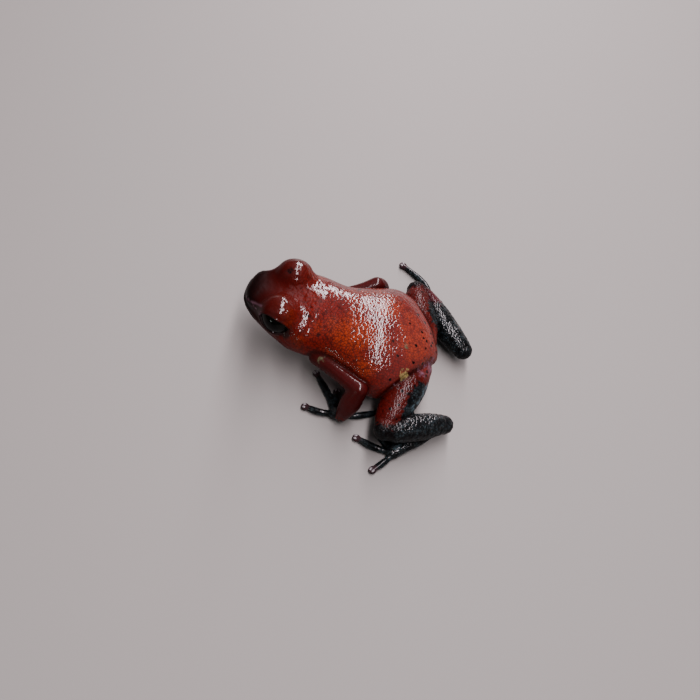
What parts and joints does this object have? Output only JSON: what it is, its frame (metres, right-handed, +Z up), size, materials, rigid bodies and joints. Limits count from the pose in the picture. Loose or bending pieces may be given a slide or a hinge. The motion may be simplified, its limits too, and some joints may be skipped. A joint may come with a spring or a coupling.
{
  "type": "strawberry poison dart frog",
  "caption": "Life-size still model of a small red and black poison frog, sitting with bent limbs, spread fingers and toes and a raised head.",
  "frame": {"origin": "on the floor, under the middle of the frog's box", "axes": "-Y towards the snout, +X to the frog's left side, +Z up"},
  "size_m": [0.0228, 0.021, 0.0073],
  "materials": {
    "head_skin": "wet, smooth dark red skin",
    "back_skin": "wet, finely granular red skin with small black flecks",
    "arm_skin": "wet, smooth dark red-brown skin",
    "thigh_skin": "wet granular skin, red in front and black behind",
    "black_skin": "wet, granular blue-black skin",
    "eye": "clear, glossy black eye"
  },
  "bodies": {
    "root": {"head": "head_skin", "torso": "back_skin", "eye_left": "eye", "eye_right": "eye", "upper_arm_left": "arm_skin", "upper_arm_right": "arm_skin", "forearm_left": "arm_skin", "forearm_right": "arm_skin", "hand_left": "black_skin", "hand_right": "black_skin", "thigh_left": "thigh_skin", "thigh_right": "thigh_skin", "shank_left": "black_skin", "shank_right": "black_skin", "tarsus_left": "black_skin", "tarsus_right": "black_skin", "foot_left": "black_skin", "foot_right": "black_skin"}
  },
  "joints": []
}
